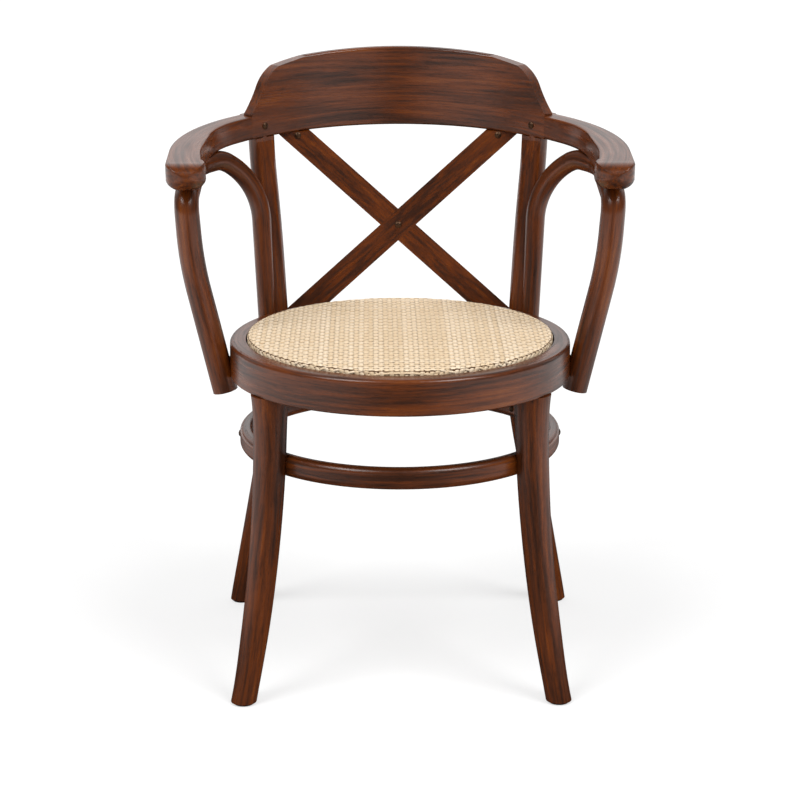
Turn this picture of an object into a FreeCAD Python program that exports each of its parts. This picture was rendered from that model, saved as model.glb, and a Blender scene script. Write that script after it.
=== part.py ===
import FreeCAD, Part
import math
import os
import Sketcher
from FreeCAD import Placement, Rotation, Vector

# Cross back armchair: bent beech frame, round seat with a woven cane panel.
# Millimetres, +Z up, the floor at z = 0, the sitter faces -Y and has +X on the left.
# Heights are above the floor. Reaches in plan are from the seat's centre.

doc = FreeCAD.newDocument("cross_back_chair")
sheet = doc.addObject("Spreadsheet::Sheet", "Sizes")
row = 0


def size(alias, value, meaning):
    """Write one driving dimension into the sheet."""
    global row
    row += 1
    sheet.set(f"A{row}", meaning)
    sheet.set(f"B{row}", str(value))
    sheet.setAlias(f"B{row}", alias)


# Seat
size("seat_radius", 225, "outer radius of the round seat ring")
size("seat_height", 460, "top of the seat ring")
size("ring_depth", 47, "height of the seat ring")
size("ring_wall", 42, "width of the seat ring in plan")
size("ring_round", 6, "rounding of the ring's outer top edge")
size("ring_ease", 1.5, "rounding of the ring's outer bottom edge")
size("rebate_depth", 10, "depth of the ledge that the seat board lies on")
size("panel_radius", 203, "radius of the woven seat panel")
size("panel_gap", 1, "open line round the woven panel")
size("cane_thick", 2, "thickness of the woven cane over the board")
size("panel_proud", 7, "how far the panel's edge stands above the ring")
size("panel_crown", 3, "rise of the panel from its edge to its middle")
size("panel_round", 5, "rounding of the panel's edge")

# Front legs
size("leg_angle", 35, "angle of a front leg's plane from the cross axis")
size("leg_top_reach", 205, "reach of a front leg's centre under the ring")
size("leg_foot_reach", 253, "reach of a front leg's centre at the floor")
size("leg_top_radius", 22.5, "radius of a front leg at the ring")
size("leg_flare", 2.2, "swelling of a front leg where it meets the ring")
size("leg_foot_radius", 17, "radius of a front leg at the floor")
size("leg_tenon_radius", 14, "radius of the tenon on a front leg")
size("leg_tenon_length", 30, "length of the tenon on a front leg")

# Rear posts
size("post_foot_x", 230.5, "rear post, sideways reach at the floor")
size("post_foot_y", 242, "rear post, backward reach at the floor")
size("post_waist_x", 163, "sideways reach where the post's two straights meet")
size("post_waist_y", 149, "backward reach where the post's two straights meet")
size("post_waist_height", 353, "height where the post's two straights meet")
size("post_waist_ease", 6, "how far the bend stays outside that corner")
size("post_top_x", 188.5, "rear post, sideways reach at the rail")
size("post_top_y", 207, "rear post, backward reach at the rail")
size("post_foot_radius", 16, "radius of a rear post at the floor")
size("post_mid_radius", 18, "radius of a rear post above its bend")
size("post_tenon_radius", 8, "radius of the tenon into the rail")
size("post_tenon_length", 22, "length of the tenon into the rail")
size("post_flat_length", 80, "length over which the post thins to the rail")

# Hoop stretcher
size("hoop_radius", 215.5, "outer radius of the hoop stretcher")
size("hoop_centre_y", 33, "hoop centre behind the seat's centre")
size("hoop_height", 317.5, "height of the hoop's middle")
size("hoop_wall", 19, "width of the hoop in plan")
size("hoop_depth", 28.5, "height of the hoop")
size("hoop_round", 8, "rounding of the hoop's edges")

# Back bow: the rail, the crest and the arms lie along it
size("bow_centre_y", -15, "centre of the back bow, from the seat's centre")
size("bow_radius", 283, "radius of the front face of the rail")
size("bow_tilt", 6, "slope of the bow, rising to the back")
size("rail_height", 700, "underside of the rail at its middle")
size("rail_depth", 32, "height of the rail and of the arms")
size("rail_thick", 25, "thickness of the rail")
size("rail_half_angle", 45, "half of the angle that the rail spans")
size("rail_ease", 3, "rounding of the rail's long edges")
size("crest_thick", 17, "thickness of the crest")
size("crest_top", 809, "top of the crest at its middle")
size("crest_arch_radius", 1080, "radius of the crest's top edge")
size("crest_end_angle", 43, "angle of the plane that shapes a crest end")
size("crest_round", 4, "rounding of the crest's edges")

# Arms
size("arm_outer_x", 301, "outer edge of an arm")
size("arm_tilt", 7.4, "slope of an arm's underside")
size("arm_width", 42, "width of an arm")
size("arm_waist_y", 22, "narrowest place of an arm, from the seat's centre")
size("arm_waist_bend", 180, "radius of the inner edge at the narrowest place")
size("arm_lead", 69, "straight run of an arm's inner edge at the rail")
size("arm_inner_bend", 120, "radius of the inner edge's bend")
size("arm_outer_bend", 235, "radius of the outer edge's bend")
size("arm_top_round", 3, "rounding of an arm's top edges")
size("arm_under_round", 14, "rounding of an arm's outer bottom edge")
size("arm_inner_round", 5, "rounding of an arm's inner bottom edge")
size("knob_radius", 26, "radius of the ball at an arm's end")
size("knob_nose", 24, "radius of the round nose in front of the arm's flat top")
size("knob_drop", 10, "ball centre below the arm's top face")
size("knob_y", -40, "ball centre, from the seat's centre")

# Arm bows
size("bow_foot_radius", 16.5, "radius of an arm bow at its front foot")
size("bow_shoulder_radius", 16.1, "radius of an arm bow under the knob")
size("bow_middle_radius", 13.4, "radius of an arm bow at the back of the arm")
size("bow_tail_radius", 11.5, "radius of an arm bow beside the post")
size("bow_front_y", -20, "front limb of an arm bow, from the seat's centre")
size("bow_ease", 3, "rounding of the rod's foot")
size("bow_foot_x", 231, "front limb, sideways reach at its foot")
size("bow_foot_height", 392, "bottom end of the front limb")
size("bow_tail_height", 418, "bottom end of the rear limb")

# Cross slats
size("slat_width", 33, "width of a cross slat")
size("slat_thick", 12, "thickness of a cross slat")
size("slat_lean", 10.6, "backward lean of the cross")
size("slat_slope", 41.7, "angle of a slat from the seat's plane")
size("slat_cross_height", 568, "height where the slats cross")
size("slat_cross_y", 213, "where the slats cross, from the seat's centre")
size("slat_pin_drop", 10, "a slat's top screw below the rail")
size("slat_dowel_radius", 3, "radius of the dowel in a slat's top end")
size("slat_dowel_length", 30, "length of the dowel in a slat's top end")
size("slat_foot_height", 424, "bottom end of a slat on the ring")

# Fastenings and feet
size("dome_radius", 4.6, "radius of a dome screw head")
size("dome_rise", 2.6, "height of a dome screw head")
size("shank_radius", 2.2, "radius of a screw shank")
size("dowel_radius", 4, "radius of a dowel")
size("dowel_length", 36, "length of a dowel")
size("bolt_radius", 3, "radius of a frame bolt")
size("nut_radius", 7, "radius of a barrel nut's flange")
size("glide_radius", 13, "radius of a foot glide")
size("glide_thick", 3, "thickness of a foot glide")
doc.recompute()


def value(expression):
    """Return the number that an expression of the sheet's values gives."""
    return float(sheet.evalExpression(expression))


# The middle of the chair's box in plan lies on the Z axis.
SEAT_Y = "(Sizes.seat_radius - Sizes.bow_centre_y - Sizes.bow_radius - Sizes.rail_thick) / 2"
BOW_Y = f"{SEAT_Y} + Sizes.bow_centre_y"
RING_BOTTOM = "Sizes.seat_height - Sizes.ring_depth"
LEG_LENGTH = f"({RING_BOTTOM} - Sizes.glide_thick)"


def origin_plane(body, role):
    for feature in body.Origin.OriginFeatures:
        if feature.Role == role:
            return feature
    raise ValueError(role)


def new_body(name, y="0"):
    body = doc.addObject("PartDesign::Body", name)
    body.setExpression("Placement.Base.y", y)
    return body


def new_sketch(body, name, role, height=None, turn=None):
    """Sketch on an origin plane, raised by height, turned about the Z axis by turn."""
    sketch = body.newObject("Sketcher::SketchObject", name)
    sketch.AttachmentSupport = [(origin_plane(body, role), "")]
    sketch.MapMode = "FlatFace"
    if height is not None:
        sketch.setExpression("AttachmentOffset.Base.z", height)
    if turn is not None:
        sketch.AttachmentOffset = Placement(Vector(), Rotation(Vector(0, 1, 0), value(turn)))
        sketch.setExpression("AttachmentOffset.Rotation.Angle", turn)
    return sketch


def bind(sketch, kind, geometry, expression):
    """Add a size to a sketch and bind it to the sheet."""
    index = sketch.addConstraint(Sketcher.Constraint(kind, *geometry, value(expression)))
    sketch.setExpression(f"Constraints[{index}]", expression)


def arc_between(start, end, radius, side):
    """Arc from start to end, whose centre is on the left of the way for side = 1."""
    middle = (start + end) * 0.5
    half = (end - start).Length / 2
    along = (end - start).normalize()
    left = Vector(-along.y, along.x, 0) * side
    sagitta = radius - math.sqrt(radius ** 2 - half ** 2)
    return Part.Arc(start, middle - left * sagitta, end)


def draw_outline(sketch, corners, arcs=None):
    """Draw a closed outline through corners, each an (x, y) pair of expressions.

    arcs gives the radius and the side of each stretch that is round."""
    arcs = arcs or {}
    points = [Vector(value(x), value(y), 0) for x, y in corners]
    ends = []
    for i, start in enumerate(points):
        end = points[(i + 1) % len(points)]
        if i in arcs:
            radius, side = arcs[i]
            sketch.addGeometry(arc_between(start, end, value(radius), side), False)
        else:
            sketch.addGeometry(Part.LineSegment(start, end), False)
        forward = sketch.getPoint(i, 1).distanceToPoint(start) < 0.01
        ends.append((1, 2) if forward else (2, 1))
    for i, (x, y) in enumerate(corners):
        after = (i + 1) % len(points)
        sketch.addConstraint(Sketcher.Constraint("Coincident", i, ends[i][1], after, ends[after][0]))
        bind(sketch, "DistanceX", (-1, 1, i, ends[i][0]), x)
        bind(sketch, "DistanceY", (-1, 1, i, ends[i][0]), y)
    for i, (radius, side) in arcs.items():
        bind(sketch, "Radius", (i,), radius)


def draw_circle(sketch, x, y, radius):
    index = sketch.GeometryCount
    centre = Vector(value(x), value(y), 0)
    sketch.addGeometry(Part.Circle(centre, Vector(0, 0, 1), value(radius)), False)
    bind(sketch, "DistanceX", (-1, 1, index, 3), x)
    bind(sketch, "DistanceY", (-1, 1, index, 3), y)
    bind(sketch, "Radius", (index,), radius)


def revolve(body, sketch, angle="360"):
    """Turn a sketch about its vertical axis, evenly to both sides."""
    feature = body.newObject("PartDesign::Revolution", f"{body.Name}_turn")
    feature.Profile = sketch
    feature.ReferenceAxis = (sketch, ["V_Axis"])
    feature.setExpression("Angle", angle)
    feature.Midplane = True
    sketch.Visibility = False
    doc.recompute()
    return feature


def pad(body, sketch, length, both_ways=False):
    feature = body.newObject("PartDesign::Pad", f"{sketch.Name}_pad")
    feature.Profile = sketch
    feature.setExpression("Length", length)
    feature.Midplane = both_ways
    doc.recompute()
    return feature


def cut_through(body, sketch, length="2000", both_ways=True, flip=False):
    """Cut a sketch through the body, and see that it took something away."""
    before = body.Shape.Volume
    feature = body.newObject("PartDesign::Pocket", f"{sketch.Name}_cut")
    feature.Profile = sketch
    feature.setExpression("Length", length)
    feature.Midplane = both_ways
    feature.Reversed = flip
    doc.recompute()
    if body.Shape.Volume >= before:
        raise ValueError(f"{sketch.Name} cuts nothing")
    return feature


def loft(body, sections):
    feature = body.newObject("PartDesign::AdditiveLoft", f"{body.Name}_loft")
    feature.Profile = sections[0]
    feature.Sections = sections[1:]
    doc.recompute()
    return feature


def round_edges(body, radius, chosen):
    """Round the edges of the body's last feature that chosen accepts."""
    base = body.Tip
    names = [f"Edge{i + 1}" for i, edge in enumerate(base.Shape.Edges) if chosen(edge)]
    feature = body.newObject("PartDesign::Fillet", f"{body.Name}_round_{len(body.Group)}")
    feature.Base = (base, names)
    feature.setExpression("Radius", radius)
    doc.recompute()
    return feature


def near(edge, x=None, y=None, z=None, slack=0.05):
    """Whether both ends and the middle of an edge lie at the given places."""
    first, last = edge.ParameterRange
    for step in (0.0, 0.5, 1.0):
        point = edge.valueAt(first + (last - first) * step)
        for here, wanted in ((point.x, x), (point.y, y), (point.z, z)):
            if wanted is not None and abs(here - wanted) > slack:
                return False
    return True


def mirrored(name, source):
    """The same piece for the sitter's right side."""
    piece = doc.addObject("Part::Mirroring", name)
    piece.Source = source
    piece.Normal = Vector(1, 0, 0)
    return piece


def carve(name, blank, tools):
    """Cut a piece's joints with the very pieces that fill them."""
    piece = blank
    for i, tool in enumerate(tools):
        last = i == len(tools) - 1
        cut = doc.addObject("Part::Cut", name if last else f"{name}_joint_{i + 1}")
        cut.Base = piece
        cut.Tool = tool
        piece = cut
    return piece


# Seat ring: bent beech, with a ledge inside for the drop-in seat.
ring_blank = new_body("seat_ring_blank", SEAT_Y)
sketch = new_sketch(ring_blank, "ring_section", "XZ_Plane")
ring_inner = "Sizes.seat_radius - Sizes.ring_wall"
rebate_radius = "Sizes.panel_radius + Sizes.panel_gap"
ledge = "Sizes.seat_height - Sizes.rebate_depth"
draw_outline(sketch, [
    (ring_inner, RING_BOTTOM),
    ("Sizes.seat_radius", RING_BOTTOM),
    ("Sizes.seat_radius", "Sizes.seat_height"),
    (rebate_radius, "Sizes.seat_height"),
    (rebate_radius, ledge),
    (ring_inner, ledge),
])
revolve(ring_blank, sketch)


def on_seat_rim(height):
    """Pick the ring's outer edge at one height."""
    def chosen(edge):
        point = edge.valueAt(edge.ParameterRange[0])
        at_rim = abs(math.hypot(point.x, point.y) - value("Sizes.seat_radius")) < 0.01
        return at_rim and near(edge, z=value(height))
    return chosen


round_edges(ring_blank, "Sizes.ring_round", on_seat_rim("Sizes.seat_height"))
round_edges(ring_blank, "Sizes.ring_ease", on_seat_rim(RING_BOTTOM))

# Seat board: a plywood disc on the ledge, under the cane.
board_radius = "Sizes.panel_radius - Sizes.cane_thick"
board_top = "Sizes.seat_height + Sizes.panel_proud - Sizes.cane_thick"
board_blank = new_body("seat_board_blank", SEAT_Y)
sketch = new_sketch(board_blank, "board_section", "XZ_Plane")
draw_outline(sketch, [
    ("0", ledge),
    (board_radius, ledge),
    (board_radius, board_top),
    ("0", board_top),
])
revolve(board_blank, sketch)

# Woven cane seat: drawn over the board and its edge, slightly crowned.
panel_edge = "Sizes.seat_height + Sizes.panel_proud"
panel_shoulder = f"{panel_edge} - Sizes.panel_round"
crown_reach = "(Sizes.panel_radius - Sizes.panel_round)"
crown_radius = f"(pow({crown_reach}; 2) + pow(Sizes.panel_crown; 2)) / (2 * Sizes.panel_crown)"
cane_seat = new_body("cane_seat", SEAT_Y)
sketch = new_sketch(cane_seat, "cane_section", "XZ_Plane")
draw_outline(sketch, [
    ("0", board_top),
    (board_radius, board_top),
    (board_radius, ledge),
    ("Sizes.panel_radius", ledge),
    ("Sizes.panel_radius", panel_shoulder),
    (crown_reach, panel_edge),
    ("0", f"{panel_edge} + Sizes.panel_crown"),
], {4: ("Sizes.panel_round", 1), 5: (crown_radius, 1)})
revolve(cane_seat, sketch)


# Front legs: turned and bent outward in the plane through the seat's centre,
# vertical at the ring and splayed at the floor, with a tenon into the ring.
front_leg = new_body("front_leg_blank", SEAT_Y)
front_leg.Placement = Placement(Vector(), Rotation(Vector(0, 0, 1), -value("Sizes.leg_angle")))
front_leg.setExpression("Placement.Rotation.Angle", "-Sizes.leg_angle")
leg_sections = []
for share in (0, 0.04, 0.1, 0.2, 0.4, 0.6, 0.8, 1):
    height = f"Sizes.glide_thick + {LEG_LENGTH} * (1 - {share})"
    sketch = new_sketch(front_leg, f"leg_section_{len(leg_sections)}", "XY_Plane", height)
    reach = f"Sizes.leg_top_reach + (Sizes.leg_foot_reach - Sizes.leg_top_reach) * {share ** 2}"
    radius = f"Sizes.leg_top_radius + (Sizes.leg_foot_radius - Sizes.leg_top_radius) * {share}"
    flare = f"Sizes.leg_flare * {max(0, 1 - share / 0.1) ** 2}"
    draw_circle(sketch, reach, "0", f"{radius} + {flare}")
    leg_sections.append(sketch)
loft(front_leg, leg_sections)
sketch = new_sketch(front_leg, "leg_tenon", "XY_Plane", f"{RING_BOTTOM} - 1")
draw_circle(sketch, "Sizes.leg_top_reach", "0", "Sizes.leg_tenon_radius")
pad(front_leg, sketch, "Sizes.leg_tenon_length + 1")


# The tilted slab of the back bow, in a frame at the bow's centre.
rail_back = "Sizes.bow_radius + Sizes.rail_thick"


def bow_underside(y):
    return f"(Sizes.rail_height - tan(Sizes.bow_tilt) * (Sizes.bow_radius - ({y})))"


def bow_top(y):
    return f"({bow_underside(y)} + Sizes.rail_depth)"


def trim_above(body, name, surface):
    """Cut off what lies above a surface of the bow."""
    sketch = new_sketch(body, name, "YZ_Plane")
    draw_outline(sketch, [
        ("-600", surface("-600")),
        ("600", surface("600")),
        ("600", "1200"),
        ("-600", "1200"),
    ])
    cut_through(body, sketch)


def trim_below(body, name, surface):
    """Cut off what lies below a surface of the bow."""
    sketch = new_sketch(body, name, "YZ_Plane")
    draw_outline(sketch, [
        ("-600", "-10"),
        ("600", "-10"),
        ("600", surface("600")),
        ("-600", surface("-600")),
    ])
    cut_through(body, sketch)


# Rear posts: one bent piece each, from the floor past the ring up to the rail.
# Two straights meet in a wide bend, drawn as the branch of a hyperbola.
rear_post = new_body("rear_post_blank", BOW_Y)


def post_place(axis, height):
    """Where the centre of a post lies on one axis, at a height, from the seat's centre."""
    foot = f"Sizes.post_foot_{axis}"
    waist = f"Sizes.post_waist_{axis}"
    top = f"Sizes.post_top_{axis}"
    below = f"(({waist} - {foot}) / Sizes.post_waist_height)"
    above = f"(({top} - {waist}) / (Sizes.rail_height - Sizes.post_waist_height))"
    rise = f"({height} - Sizes.post_waist_height)"
    ease = "Sizes.post_waist_ease"
    bend = f"sqrt(pow(({above} - {below}) / 2 * {rise}; 2) + pow({ease}; 2))"
    return f"{waist} + ({above} + {below}) / 2 * {rise} + {bend}"


post_sections = []
post_heights = ["Sizes.glide_thick"]
for share in (0.16, 0.32, 0.44, 0.52, 0.6, 0.7, 0.84, 1):
    post_heights.append(f"Sizes.rail_height * {share}")
for height in post_heights:
    sketch = new_sketch(rear_post, f"post_section_{len(post_sections)}", "XY_Plane", height)
    back = f"{post_place('y', height)} - Sizes.bow_centre_y"
    slim = f"max(0; 1 - {height} / Sizes.post_waist_height)"
    radius = f"Sizes.post_mid_radius + (Sizes.post_foot_radius - Sizes.post_mid_radius) * {slim}"
    draw_circle(sketch, post_place("x", height), back, radius)
    post_sections.append(sketch)
loft(rear_post, post_sections)
post_angle = "atan(Sizes.post_top_x / (Sizes.post_top_y - Sizes.bow_centre_y))"
flat_start = "Sizes.rail_height - Sizes.post_flat_length"
for name, face, start, away in (
        ("post_front_flat", "Sizes.bow_radius + 0.5", "Sizes.bow_radius - 23", "-1"),
        ("post_back_flat", f"{rail_back} - 0.5", f"{rail_back} - 10", "1")):
    sketch = new_sketch(rear_post, name, "XZ_Plane", turn=f"90 deg - {post_angle}")
    draw_outline(sketch, [
        (start, flat_start),
        (face, "Sizes.rail_height - 12"),
        (face, "Sizes.rail_height + 40"),
        (f"{face} + {away} * 40", "Sizes.rail_height + 40"),
        (f"{face} + {away} * 40", flat_start),
    ])
    cut_through(rear_post, sketch, "60")
trim_above(rear_post, "post_shoulder", bow_underside)
top_back = "Sizes.post_top_y - Sizes.bow_centre_y"
sketch = new_sketch(rear_post, "post_tenon", "XY_Plane", "Sizes.rail_height - 20")
draw_circle(sketch, "Sizes.post_top_x", top_back, "Sizes.post_tenon_radius")
pad(rear_post, sketch, "Sizes.post_tenon_length + 12")

# Hoop stretcher: one bent ring let into the inner side of all four legs.
hoop_blank = new_body("hoop_blank", f"{SEAT_Y} + Sizes.hoop_centre_y")
sketch = new_sketch(hoop_blank, "hoop_section", "XZ_Plane")
hoop_low = "Sizes.hoop_height - Sizes.hoop_depth / 2"
hoop_high = "Sizes.hoop_height + Sizes.hoop_depth / 2"
draw_outline(sketch, [
    ("Sizes.hoop_radius - Sizes.hoop_wall", hoop_low),
    ("Sizes.hoop_radius", hoop_low),
    ("Sizes.hoop_radius", hoop_high),
    ("Sizes.hoop_radius - Sizes.hoop_wall", hoop_high),
])
revolve(hoop_blank, sketch)
round_edges(hoop_blank, "Sizes.hoop_round", lambda edge: True)

# Back rail: the lower band of the back, on the tilted bow.
rail_blank = new_body("back_rail_blank", BOW_Y)
sketch = new_sketch(rail_blank, "rail_section", "YZ_Plane")
draw_outline(sketch, [
    ("Sizes.bow_radius", "Sizes.rail_height - 60"),
    (rail_back, "Sizes.rail_height - 60"),
    (rail_back, "Sizes.rail_height + 90"),
    ("Sizes.bow_radius", "Sizes.rail_height + 90"),
])
revolve(rail_blank, sketch, "2 * Sizes.rail_half_angle")
trim_above(rail_blank, "rail_top", bow_top)
trim_below(rail_blank, "rail_bottom", bow_underside)


def along_bow(surface):
    """Pick the long edges of a bow piece that lie on a surface of the bow."""
    def chosen(edge):
        first, last = edge.ParameterRange
        points = [edge.valueAt(first + (last - first) * share) for share in (0, 0.5, 1)]
        on_it = all(abs(point.z - value(surface(str(point.y)))) < 0.05 for point in points)
        return on_it and edge.Length > 100
    return chosen


round_edges(rail_blank, "Sizes.rail_ease", along_bow(bow_underside))

# Crest: the tall upper board of the back, glued on the rail.
crest_blank = new_body("crest_blank", BOW_Y)
crest_back = "Sizes.bow_radius + Sizes.crest_thick"
sketch = new_sketch(crest_blank, "crest_section", "YZ_Plane")
draw_outline(sketch, [
    ("Sizes.bow_radius", "Sizes.rail_height"),
    (crest_back, "Sizes.rail_height"),
    (crest_back, "Sizes.crest_top + 10"),
    ("Sizes.bow_radius", "Sizes.crest_top + 10"),
])
revolve(crest_blank, sketch, "2 * Sizes.rail_half_angle")
trim_below(crest_blank, "crest_foot", bow_top)
sketch = new_sketch(crest_blank, "crest_arch", "XZ_Plane")
arch_drop = "(Sizes.crest_arch_radius - sqrt(pow(Sizes.crest_arch_radius; 2) - pow(260; 2)))"
draw_outline(sketch, [
    ("260", f"Sizes.crest_top - {arch_drop}"),
    ("-260", f"Sizes.crest_top - {arch_drop}"),
    ("-260", "Sizes.crest_top + 60"),
    ("260", "Sizes.crest_top + 60"),
], {0: ("Sizes.crest_arch_radius", 1)})
cut_through(crest_blank, sketch)
sketch = new_sketch(crest_blank, "crest_end", "XZ_Plane", turn="-Sizes.crest_end_angle")
draw_outline(sketch, [
    ("12.5", "Sizes.crest_top - 130"),
    ("12.5", "Sizes.crest_top - 85"),
    ("-10.5", "Sizes.crest_top - 50"),
    ("-37.5", "Sizes.crest_top - 19.5"),
    ("-83", "Sizes.crest_top - 8.5"),
    ("-83", "Sizes.crest_top + 60"),
    ("120", "Sizes.crest_top + 60"),
    ("120", "Sizes.crest_top - 130"),
], {1: ("160", -1), 2: ("60", 1)})
end_cut = cut_through(crest_blank, sketch)
other_end = crest_blank.newObject("PartDesign::Mirrored", "crest_other_end")
other_end.Originals = [end_cut]
other_end.MirrorPlane = (origin_plane(crest_blank, "YZ_Plane"), [""])
crest_blank.Tip = other_end
doc.recompute()


def on_arch(edge):
    """Pick the two long edges of the crest's arched top."""
    return edge.Length > 200 and edge.BoundBox.ZMax > value("Sizes.crest_top - Sizes.crest_thick")


round_edges(crest_blank, "Sizes.crest_round", on_arch)

# Arms: flat bent pieces that go on from the rail, each ending in a ball.
arm = new_body("arm_blank", BOW_Y)
arm_inner_x = "(Sizes.arm_outer_x - Sizes.arm_width)"
joint_inner = ("Sizes.bow_radius * sin(Sizes.rail_half_angle)",
               "Sizes.bow_radius * cos(Sizes.rail_half_angle)")
joint_outer = (f"({rail_back}) * sin(Sizes.rail_half_angle)",
               f"({rail_back}) * cos(Sizes.rail_half_angle)")
inner_corner = (f"{joint_inner[0]} + Sizes.arm_lead * cos(Sizes.rail_half_angle)",
                f"{joint_inner[1]} - Sizes.arm_lead * sin(Sizes.rail_half_angle)")
outer_fall = f"(Sizes.arm_outer_x - {joint_outer[0]}) * tan(Sizes.rail_half_angle)"
outer_corner = ("Sizes.arm_outer_x", f"{joint_outer[1]} - {outer_fall}")
knob_back = "Sizes.knob_y - Sizes.bow_centre_y"
waist_corner = (f"{arm_inner_x} + 1", "Sizes.arm_waist_y - Sizes.bow_centre_y")


def arm_underside(y):
    """Underside of an arm, level with the rail's at their joint."""
    return f"({bow_underside(joint_inner[1])} - tan(Sizes.arm_tilt) * ({joint_inner[1]} - ({y})))"


sketch = new_sketch(arm, "arm_plan", "XY_Plane", "Sizes.rail_height - 80")
draw_outline(sketch, [
    joint_inner,
    inner_corner,
    waist_corner,
    (f"{arm_inner_x} - 5", knob_back),
    ("Sizes.arm_outer_x", knob_back),
    outer_corner,
    joint_outer,
])
pad(arm, sketch, "160")


def upright_at(corner):
    """Pick the upright edge at a corner of the plan."""
    x = value(corner[0])
    y = value(corner[1])
    return lambda edge: near(edge, x=x, y=y)


round_edges(arm, "Sizes.arm_inner_bend", upright_at(inner_corner))
round_edges(arm, "Sizes.arm_outer_bend", upright_at(outer_corner))
round_edges(arm, "Sizes.arm_waist_bend", upright_at(waist_corner))
trim_above(arm, "arm_top", bow_top)
trim_below(arm, "arm_bottom", arm_underside)


def along_arm(top, outer):
    """Pick the long edges of an arm on one side of it, above or below."""
    joint_turn = value("Sizes.rail_half_angle")

    def at_joint(point):
        return abs(math.degrees(math.atan2(point.x, point.y)) - joint_turn) < 0.1

    def chosen(edge):
        first, last = edge.ParameterRange
        start = edge.valueAt(first)
        end = edge.valueAt(last)
        middle = edge.valueAt((first + last) / 2)
        upright = math.hypot(start.x - end.x, start.y - end.y) < 1
        at_end = near(edge, y=value(knob_back)) or (at_joint(start) and at_joint(end))
        above = middle.z > value(f"({bow_underside(middle.y)} + {bow_top(middle.y)}) / 2")
        beyond_bow = math.hypot(middle.x, middle.y) > value("Sizes.bow_radius + 10")
        outside = beyond_bow and (middle.x > value("Sizes.arm_outer_x - 10") or middle.y > 60)
        return not upright and not at_end and above == top and outside == outer

    return chosen


round_edges(arm, "Sizes.arm_top_round", along_arm(True, True))
round_edges(arm, "Sizes.arm_top_round", along_arm(True, False))
round_edges(arm, "Sizes.arm_under_round", along_arm(False, True))
round_edges(arm, "Sizes.arm_inner_round", along_arm(False, False))
knob = new_body("knob_blank", f"{SEAT_Y} + Sizes.knob_y")
knob.setExpression("Placement.Base.x", "Sizes.arm_outer_x - Sizes.knob_radius")
knob.setExpression("Placement.Base.z", f"{bow_top(knob_back)} - Sizes.knob_drop")
ball = knob.newObject("PartDesign::AdditiveSphere", "knob_ball")
ball.setExpression("Radius", "Sizes.knob_radius")
doc.recompute()
sketch = new_sketch(knob, "knob_nose", "YZ_Plane")
nose_top = "Sizes.knob_drop - tan(Sizes.bow_tilt) * 2"
draw_outline(sketch, [
    ("40", "Sizes.knob_drop + tan(Sizes.bow_tilt) * 40"),
    ("40", "60"),
    ("-60", "60"),
    ("-60", f"{nose_top} - Sizes.knob_nose"),
    ("-2 - Sizes.knob_nose", f"{nose_top} - Sizes.knob_nose"),
    ("-2", nose_top),
], {4: ("Sizes.knob_nose", -1)})
cut_through(knob, sketch)
arm_left_blank = doc.addObject("Part::Fuse", "arm_left_blank")
arm_left_blank.Base = arm
arm_left_blank.Tool = knob
doc.recompute()

# Arm bows: one bent rod each. It rises from the ring's side to the arm, runs back
# under it, and comes down beside the rear post, thinner, to the ring again.


def rounded_path(corners):
    """Path of straights and tangent arcs through corners of (point, bend radius)."""
    edges = []
    start = corners[0][0]
    for before, here, after in zip(corners, corners[1:], corners[2:]):
        corner, radius = here
        to_before = (before[0] - corner).normalize()
        to_after = (after[0] - corner).normalize()
        half_angle = to_before.getAngle(to_after) / 2
        cut = radius / math.tan(half_angle)
        middle = (to_before + to_after).normalize()
        first = corner + to_before * cut
        last = corner + to_after * cut
        deep = corner + middle * (radius / math.sin(half_angle) - radius)
        edges.append(Part.LineSegment(start, first).toShape())
        edges.append(Part.Arc(first, deep, last).toShape())
        start = last
    edges.append(Part.LineSegment(start, corners[-1][0]).toShape())
    return Part.Wire(edges)


def ring_wire(centre, direction, radius):
    return Part.Wire([Part.Circle(centre, direction, radius).toShape()])


def under_arm(y):
    """Height of the arm's underside at a reach behind the seat's centre."""
    return value(arm_underside(f"{y} - Sizes.bow_centre_y"))


foot_radius = value("Sizes.bow_foot_radius")
shoulder_radius = value("Sizes.bow_shoulder_radius")
middle_radius = value("Sizes.bow_middle_radius")
tail_radius = value("Sizes.bow_tail_radius")
front_y = value("Sizes.bow_front_y")
foot_x = value("Sizes.bow_foot_x")
foot_height = value("Sizes.bow_foot_height")
tail_height = value("Sizes.bow_tail_height")
bow_corners = [
    (Vector(foot_x, front_y, foot_height), 0),
    (Vector(foot_x + 40.8, front_y, foot_height + 173), 480),
    (Vector(foot_x + 46.5, front_y, under_arm(front_y) - shoulder_radius), 42),
    (Vector(271.5, 113, under_arm(113) - middle_radius), 60),
    (Vector(241, 143, under_arm(143) - middle_radius), 30),
    (Vector(190.7, 168.6, 639), 92),
    (Vector(180.5, 134, tail_height), 0),
]
bow_path = rounded_path(bow_corners)
shoulder_edge = bow_path.Edges[4]
shoulder_point = shoulder_edge.valueAt(shoulder_edge.FirstParameter)
shoulder_way = shoulder_edge.tangentAt(shoulder_edge.FirstParameter)
turn_edge = bow_path.Edges[8]
turn_point = turn_edge.valueAt(turn_edge.FirstParameter)
turn_way = turn_edge.tangentAt(turn_edge.FirstParameter)
bow_end = bow_path.Edges[-1]
shell = Part.BRepOffsetAPI.MakePipeShell(bow_path)
shell.add(ring_wire(bow_corners[0][0], Vector(0, 0, 1), foot_radius))
shell.add(ring_wire(shoulder_point, shoulder_way, shoulder_radius))
shell.add(ring_wire(turn_point, turn_way, middle_radius))
shell.add(ring_wire(bow_corners[-1][0], bow_end.tangentAt(bow_end.LastParameter), tail_radius))
shell.build()
shell.makeSolid()
arm_bow = doc.addObject("Part::Feature", "arm_bow_blank")
rod_end = [edge for edge in shell.shape().Edges if near(edge, z=foot_height)]
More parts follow.
